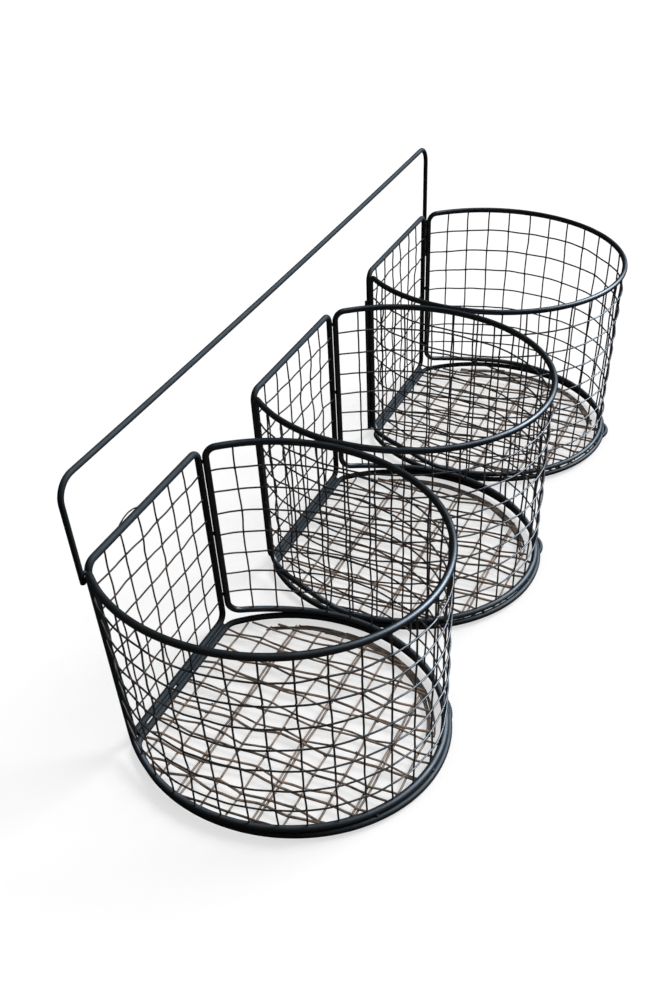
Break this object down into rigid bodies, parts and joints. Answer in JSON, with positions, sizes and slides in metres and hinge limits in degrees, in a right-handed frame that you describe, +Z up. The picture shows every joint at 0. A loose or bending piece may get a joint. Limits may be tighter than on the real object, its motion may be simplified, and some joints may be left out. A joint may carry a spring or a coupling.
{
  "type": "wall basket rack",
  "caption": "Row of D-shaped wire-mesh baskets with flat backs and rounded fronts, welded side by side, with a long hanger bail along the wall side; holds small goods on a wall or a shelf.",
  "frame": {"origin": "on the floor, midway along the row and midway between the front of the base rings and the wall side", "axes": "+X along the row of baskets, +Y towards the wall, +Z up"},
  "size_m": [0.5922, 0.1988, 0.2111],
  "materials": {
    "frame_wire": "black satin powder coat on steel wire",
    "wall_mesh": "black satin coat on thin welded mesh",
    "base_mesh": "thin worn coat on welded mesh, brown-grey"
  },
  "bodies": {
    "root": {"left_back_panel_frame": "frame_wire", "left_back_panel_mesh": "wall_mesh", "left_front_panel_frame": "frame_wire", "left_front_panel_mesh": "wall_mesh", "left_base_ring": "frame_wire", "left_base_mesh": "base_mesh", "middle_back_panel_frame": "frame_wire", "middle_back_panel_mesh": "wall_mesh", "middle_front_panel_frame": "frame_wire", "middle_front_panel_mesh": "wall_mesh", "middle_base_ring": "frame_wire", "middle_base_mesh": "base_mesh", "right_back_panel_frame": "frame_wire", "right_back_panel_mesh": "wall_mesh", "right_front_panel_frame": "frame_wire", "right_front_panel_mesh": "wall_mesh", "right_base_ring": "frame_wire", "right_base_mesh": "base_mesh", "right_post_stub": "frame_wire", "hanger_bail": "frame_wire"}
  },
  "joints": []
}
